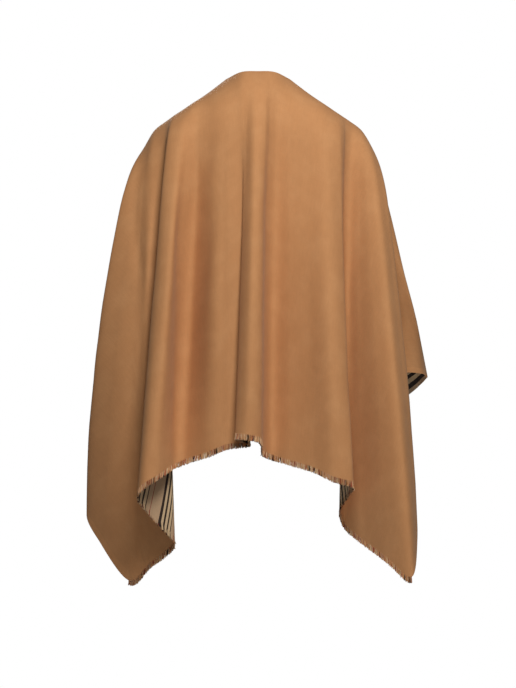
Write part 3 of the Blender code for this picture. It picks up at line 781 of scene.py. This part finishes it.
class Shade:
    """A socket of a material's nodes; sums and products of it add Math nodes."""

    def __init__(self, tree, socket=None):
        self.tree = tree
        self.socket = socket

    def node(self, kind, sockets=None, output=0, stops=(), **settings):
        """Add a node: its settings first, then the values or links of its sockets."""
        made = self.tree.nodes.new("ShaderNode" + kind)
        for name, value in settings.items():
            setattr(made, name, value)
        if stops:
            ramp = made.color_ramp
            ramp.interpolation = "CONSTANT"
            while len(ramp.elements) < len(stops):
                ramp.elements.new(1.0)
            for element, (position, colour) in zip(ramp.elements, stops):
                element.position = position
                element.color = colour
        for key, value in (sockets or {}).items():
            if isinstance(value, Shade):
                self.tree.links.new(value.socket, made.inputs[key])
            else:
                made.inputs[key].default_value = value
        return Shade(self.tree, made.outputs[output])

    def feed(self, shader, name):
        """Link this to a socket of the shader."""
        self.tree.links.new(self.socket, shader.inputs[name])

    def maths(self, operation, *values):
        """A Math node of these values."""
        return self.node("Math", dict(enumerate(values)), operation=operation)

    def __add__(self, other):
        return self.maths("ADD", self, other)

    __radd__ = __add__

    def __sub__(self, other):
        return self.maths("SUBTRACT", self, other)

    def __rsub__(self, other):
        return self.maths("SUBTRACT", other, self)

    def __mul__(self, other):
        return self.maths("MULTIPLY", self, other)

    __rmul__ = __mul__

    def __truediv__(self, other):
        return self.maths("DIVIDE", self, other)

    def __pow__(self, other):
        return self.maths("POWER", self, other)

    def __abs__(self):
        return self.maths("ABSOLUTE", self)

    def wave(self, period):
        """A sine of this length in metres."""
        return self.maths("SINE", self * (2 * pi / period))

    def rise(self, low, high):
        """0 below `low`, 1 above `high` and smooth between."""
        sockets = {"Value": self, "From Min": low, "From Max": high}
        return self.node("MapRange", sockets, interpolation_type="SMOOTHSTEP")

    def scaled(self, factors):
        """These coordinates, each times its factor."""
        return self.node("VectorMath", {0: self, 1: factors}, operation="MULTIPLY")

    def speckle(self, kind):
        """Noise about 0 on these coordinates."""
        place = self.scaled((1.0, kind.along, 1.0))
        sockets = {"Vector": place, "Scale": kind.scale, "Detail": kind.detail}
        return (self.node("TexNoise", sockets, noise_dimensions="3D") - 0.5) * kind.weight

    def between(self, first, second):
        """The colour this share of the way from one colour to another."""
        sockets = {0: self, 6: first, 7: second}
        return self.node("Mix", sockets, output=2, data_type="RGBA")

    def shaded(self, factor):
        """This colour made lighter or darker by a factor about 1."""
        sockets = {0: self, "Scale": factor}
        return self.node("VectorMath", sockets, operation="SCALE")


def new_material(name, roughness, sheen=0.0, sheen_tint=WHITE):
    """A material of one Principled shader, with the root of its expressions."""
    material = bpy.data.materials.new(name)
    material.use_nodes = True
    shader = material.node_tree.nodes["Principled BSDF"]
    shader.inputs["Roughness"].default_value = roughness
    shader.inputs["Specular IOR Level"].default_value = SPECULAR
    shader.inputs["Sheen Weight"].default_value = sheen
    shader.inputs["Sheen Roughness"].default_value = SHEEN_ROUGHNESS
    shader.inputs["Sheen Tint"].default_value = sheen_tint
    return material, shader, Shade(material.node_tree)


def weave(root, slant):
    """Places in the cut, across it and along its warp, the twill's ribs and the nap."""
    cut = root.node("UVMap", uv_map=CUT_UV)
    across, warp = (cut.node("SeparateXYZ", {0: cut}, output=n) for n in (0, 1))
    ribs = (across + warp * slant + cut.speckle(RIB_DRIFT)).wave(TWILL_PITCH)
    return cut, across, warp, ribs, cut.speckle(NAP)


def stand_out(height, shader):
    """Stand the marks of the cloth out of its surface by their heights."""
    sockets = {"Height": height, "Strength": BUMP_STRENGTH, "Distance": BUMP_HEIGHT}
    height.node("Bump", sockets).feed(shader, "Normal")


def stitch_line(across, warp):
    """A mask of the sewn line round the neck hole and down the slit."""
    forward = warp + NECK_FORWARD
    radius = (across * across + forward * forward) ** 0.5
    round_neck = abs(radius - (NECK_RADIUS + STITCH_INSET))
    turn = across.maths("ARCTAN2", across, forward) * NECK_RADIUS
    front = (warp * -1.0).rise(NECK_RADIUS, NECK_RADIUS + SLIT_BLEND)
    beside = abs(abs(across) - STITCH_INSET)
    neck = (1 - round_neck.rise(0.0, STITCH_WIDTH)) * turn.wave(STITCH_PITCH).rise(*STITCH_ENDS)
    slit = (1 - beside.rise(0.0, STITCH_WIDTH)) * warp.wave(STITCH_PITCH).rise(*STITCH_ENDS)
    return neck.maths("MAXIMUM", neck * (1 - front), slit * front)


def camel_cloth(settings):
    """The outer face: napped camel twill, with its selvedges and stitching."""
    material, shader, root = new_material(
        "camel_twill", CAMEL_ROUGHNESS, settings.sheen, CAMEL_SHEEN
    )
    cut, across, warp, ribs, nap = weave(root, 1.0)
    selvedge = abs(across).rise(HALF_SPAN - SELVEDGE - SELVEDGE_BLEND, HALF_SPAN - SELVEDGE)
    stitches = stitch_line(across, warp)
    light = 1 + cut.speckle(BROAD_MOTTLE) + cut.speckle(FINE_MOTTLE) + cut.speckle(BRUSHED)
    light += nap * OUTER_NAP.light + ribs * OUTER_RIBS.light
    light += selvedge * SELVEDGE_CORDS.light + stitches * STITCHES.light
    yarns = yarn_colours(settings)
    patches = cut.speckle(LIGHT_PATCHES).rise(*PATCH_ENDS) * PATCH_SHARE
    patches.between(yarns["camel"], yarns["camel_light"]).shaded(light).feed(shader, "Base Color")
    height = nap * OUTER_NAP.height + ribs * OUTER_RIBS.height + stitches * STITCHES.height
    height += across.wave(SELVEDGE_PITCH) * selvedge * SELVEDGE_CORDS.height
    stand_out(height, shader)
    (nap * NAP_ROUGHNESS + CAMEL_ROUGHNESS).feed(shader, "Roughness")
    return material


def striped_cloth(settings):
    """The inner face: a graduated stripe along the warp, on a beige ground."""
    material, shader, root = new_material(
        "striped_twill", STRIPED_ROUGHNESS, settings.sheen * STRIPED_SHEEN
    )
    cut, across, _, ribs, nap = weave(root, -1.0)
    yarns = yarn_colours(settings)
    stops = []
    start = 0.0
    for stripe in STRIPES:
        stops.append((start, yarns[stripe.yarn]))
        start += stripe.width / STRIPE_PERIOD
    place = (across + STRIPE_SHIFT + nap * STRIPE_FUZZ) / STRIPE_PERIOD
    phase = place - place.maths("FLOOR", place)
    colour = phase.node("ValToRGB", {"Fac": phase}, stops=stops)
    light = 1 + cut.speckle(STRIPED_MOTTLE) + nap * INNER_NAP.light + ribs * INNER_RIBS.light
    colour.shaded(light).feed(shader, "Base Color")
    stand_out(nap * INNER_NAP.height + ribs * INNER_RIBS.height, shader)
    return material


def fringe_yarn():
    """Loose warp ends: each strand has its own colour, with a little fuzz."""
    material, shader, root = new_material("warp_yarn", YARN_ROUGHNESS)
    colour = root.node("Attribute", attribute_name=YARN_COLOUR)
    place = root.node("TexCoord", output="Object")
    colour.shaded(1 + place.speckle(STRAND_FUZZ)).feed(shader, "Base Color")
    return material


def yarn_colours(settings):
    """The colour of each yarn of the cloth, by name."""
    names = ("camel", "camel_light", "cream", "ground", "brown", "rust")
    return {name: tuple(getattr(settings, name)) + (1.0,) for name in names}


def stripe_at(across):
    """The yarn of the striped face's warp at a place across the cut."""
    place = (across + STRIPE_SHIFT) % STRIPE_PERIOD
    for stripe in STRIPES:
        if place < stripe.width:
            return stripe.yarn
        place -= stripe.width
    return STRIPES[-1].yarn


def colour_property(name, description, default):
    """A colour that a user may change."""
    return FloatVectorProperty(
        name=name,
        description=description,
        default=default,
        min=0.0,
        max=1.0,
        size=3,
        subtype="COLOR",
    )


def level_property(name, description, default, **more):
    """A number that a user may change, from 0 up."""
    return FloatProperty(name=name, description=description, default=default, min=0.0, **more)


def length_property(name, description, default):
    """A length that a user may change, in metres."""
    return level_property(name, description, default, unit="LENGTH", precision=5)


class ClothSettings(bpy.types.PropertyGroup):
    """The sizes and colours of the cloth."""

    wall: length_property("Thickness", "Thickness of the double-faced wool", 0.002)
    pitch: length_property("Mesh pitch", "Distance between columns of the mesh, at the hem", 0.0044)
    rows: IntProperty(
        name="Rows", description="Rows of the mesh from neck to hem", default=36, min=8
    )
    sheen: level_property("Sheen", "Soft light on the wool's nap", 0.10, max=1.0)
    camel: colour_property("Camel", "Outer face", (0.510, 0.237, 0.094))
    camel_light: colour_property(
        "Light camel", "Brushed parts of the outer face", (0.568, 0.280, 0.118)
    )
    cream: colour_property("Cream", "Light stripes of the inner face", (0.64, 0.45, 0.26))
    ground: colour_property("Ground", "Ground of the inner face", (0.52, 0.34, 0.20))
    brown: colour_property("Brown", "Dark stripes of the inner face", (0.035, 0.020, 0.014))
    rust: colour_property("Rust", "Thin stripe of the inner face", (0.30, 0.055, 0.030))


class FringeSettings(bpy.types.PropertyGroup):
    """The sizes of the eyelash fringe."""

    length: length_property("Length", "Length of the loose warp ends", 0.0100)
    rooted: length_property("Root", "How far each strand starts inside the hem", 0.0015)
    thickness: length_property("Strand", "Thickness of one strand", 0.0015)
    pitch: length_property("Pitch", "Distance between the strands of one face", 0.00085)


class StageSettings(bpy.types.PropertyGroup):
    """The floor and the light."""

    floor_drop: length_property("Floor", "How far the floor lies below the nape", 1.45)
    floor_radius: length_property("Floor radius", "Radius of the pale floor", 2.4)
    key: level_property("Softbox", "Power of the large softbox", 40.0, unit="POWER")
    fill: level_property("Fill", "Strength of the light from all round", 0.06)


class CAPE_OT_cloth(bpy.types.Operator):
    """Hang the double-faced cloth from the shoulders"""

    bl_idname = "cape.cloth"
    bl_label = "Hang the cloth"

    def execute(self, context):
        settings = context.scene.cape_cloth
        bm = hang_cloth(settings.pitch, settings.rows)
        crumple(bm)
        thicken(bm, settings.wall)
        unfold_uv(bm)
        faces = (camel_cloth(settings), striped_cloth(settings))
        cape = add_piece(CAPE, bm, faces)
        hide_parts("back_panel", "front_left_panel", "front_right_panel")
        return {"FINISHED"}


class CAPE_OT_fringe(bpy.types.Operator):
    """Fringe the two hems with loose warp ends"""

    bl_idname = "cape.fringe"
    bl_label = "Fringe the hems"

    def execute(self, context):
        cape = bpy.data.objects.get(CAPE)
        if cape is None:
            raise RuntimeError("the cloth is hung before its hems are fringed")
        cloth = context.scene.cape_cloth
        colours = yarn_colours(cloth)
        yarn = fringe_yarn()
        for stretch, hem in read_hems(cape, cloth.wall):
            bm = draw_fringe(hem, context.scene.cape_fringe, colours, random.Random(stretch))
            piece = add_piece("fringe_of_" + stretch, bm, (yarn,))
            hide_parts(stretch + "_fringe")
        return {"FINISHED"}


class CAPE_OT_stage(bpy.types.Operator):
    """Lay the floor and set up the light and the camera"""

    bl_idname = "cape.stage"
    bl_label = "Set the stage"

    def execute(self, context):
        settings = context.scene.cape_stage
        lay_floor(settings)
        light_world(context.scene, settings.fill)
        for softbox in SOFTBOXES:
            hang_softbox(softbox, settings.key)
        aim_camera(context.scene)
        return {"FINISHED"}


def lay_floor(settings):
    """A pale round floor that fades out before its rim."""
    bm = bmesh.new()
    bmesh.ops.create_circle(
        bm, cap_ends=True, segments=FLOOR_SIDES, radius=settings.floor_radius
    )
    bmesh.ops.translate(bm, verts=bm.verts, vec=(0.0, 0.0, -settings.floor_drop))
    material, shader, root = new_material("pale_floor", FLOOR_ROUGHNESS)
    shader.inputs["Base Color"].default_value = FLOOR_COLOUR
    shader.inputs["Emission Strength"].default_value = FLOOR_GLOW
    flat = root.node("TexCoord", output="Object").scaled((1.0, 1.0, 0.0))
    radius = flat.node("VectorMath", {0: flat}, output="Value", operation="LENGTH")
    fade = 1 - radius.rise(*(settings.floor_radius * share for share in FLOOR_FADE))
    fade.feed(shader, "Alpha")
    floor = new_object("floor", bm, (material,))
    floor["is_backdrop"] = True


def light_world(scene, strength):
    """White all round, and a soft light from it."""
    world = bpy.data.worlds.new("studio")
    world.use_nodes = True
    backdrop = world.node_tree.nodes["Background"]
    backdrop.inputs["Color"].default_value = WHITE
    seen = Shade(world.node_tree).node("LightPath", output="Is Camera Ray")
    (seen * (1 - strength) + strength).feed(backdrop, "Strength")
    scene.world = world
    scene.view_settings.view_transform = "Standard"


def hang_softbox(softbox, power):
    """A large square light that faces the cape."""
    light = bpy.data.lights.new(softbox.name, "AREA")
    light.size = softbox.size
    light.energy = power * softbox.share
    lamp = bpy.data.objects.new(softbox.name, light)
    lamp.location = softbox.place
    lamp.rotation_mode = "QUATERNION"
    lamp.rotation_quaternion = (Vector(softbox.place) - EYE_LEVEL).to_track_quat("Z", "Y")
    lamp.visible_camera = False
    bpy.context.scene.collection.objects.link(lamp)


def aim_camera(scene):
    """A level camera behind the cape, far enough to keep its lines straight."""
    camera = bpy.data.cameras.new("camera")
    camera.sensor_fit = "VERTICAL"
    camera.sensor_height = CAMERA_SENSOR
    camera.lens = CAMERA_SENSOR * CAMERA_DISTANCE / VIEW_HEIGHT
    eye = bpy.data.objects.new("camera", camera)
    eye.location = EYE_LEVEL + Vector((0.0, CAMERA_DISTANCE, 0.0))
    eye.rotation_euler = (radians(90), 0.0, radians(180))
    scene.collection.objects.link(eye)
    scene.camera = eye


class CAPE_PT_panel(bpy.types.Panel):
    """The sizes and colours of the cape, and a button for each step"""

    bl_label = "Wool cape"
    bl_space_type = "VIEW_3D"
    bl_region_type = "UI"
    bl_category = "Cape"

    def draw(self, context):
        for settings, operator in (
            (context.scene.cape_cloth, CAPE_OT_cloth),
            (context.scene.cape_fringe, CAPE_OT_fringe),
            (context.scene.cape_stage, CAPE_OT_stage),
        ):
            box = self.layout.box()
            for name in settings.__annotations__:
                box.prop(settings, name)
            box.operator(operator.bl_idname)


CLASSES = (
    ClothSettings,
    FringeSettings,
    StageSettings,
    CAPE_OT_cloth,
    CAPE_OT_fringe,
    CAPE_OT_stage,
    CAPE_PT_panel,
)


def register():
    """Add the cape's settings, steps and panel to Blender."""
    for cls in CLASSES:
        bpy.utils.register_class(cls)
    bpy.types.Scene.cape_cloth = PointerProperty(type=ClothSettings)
    bpy.types.Scene.cape_fringe = PointerProperty(type=FringeSettings)
    bpy.types.Scene.cape_stage = PointerProperty(type=StageSettings)


def unregister():
    """Take them out again."""
    del bpy.types.Scene.cape_stage
    del bpy.types.Scene.cape_fringe
    del bpy.types.Scene.cape_cloth
    for cls in reversed(CLASSES):
        bpy.utils.unregister_class(cls)


def main():
    """Build the cape and its stage."""
    register()
    bpy.ops.cape.cloth()
    bpy.ops.cape.fringe()
    bpy.ops.cape.stage()
    boxes = {"cad": CAD_BOX, "visual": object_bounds()}
    sizes = {name: [list(corner) for corner in box] for name, box in boxes.items()}


if __name__ == "__main__":
    main()
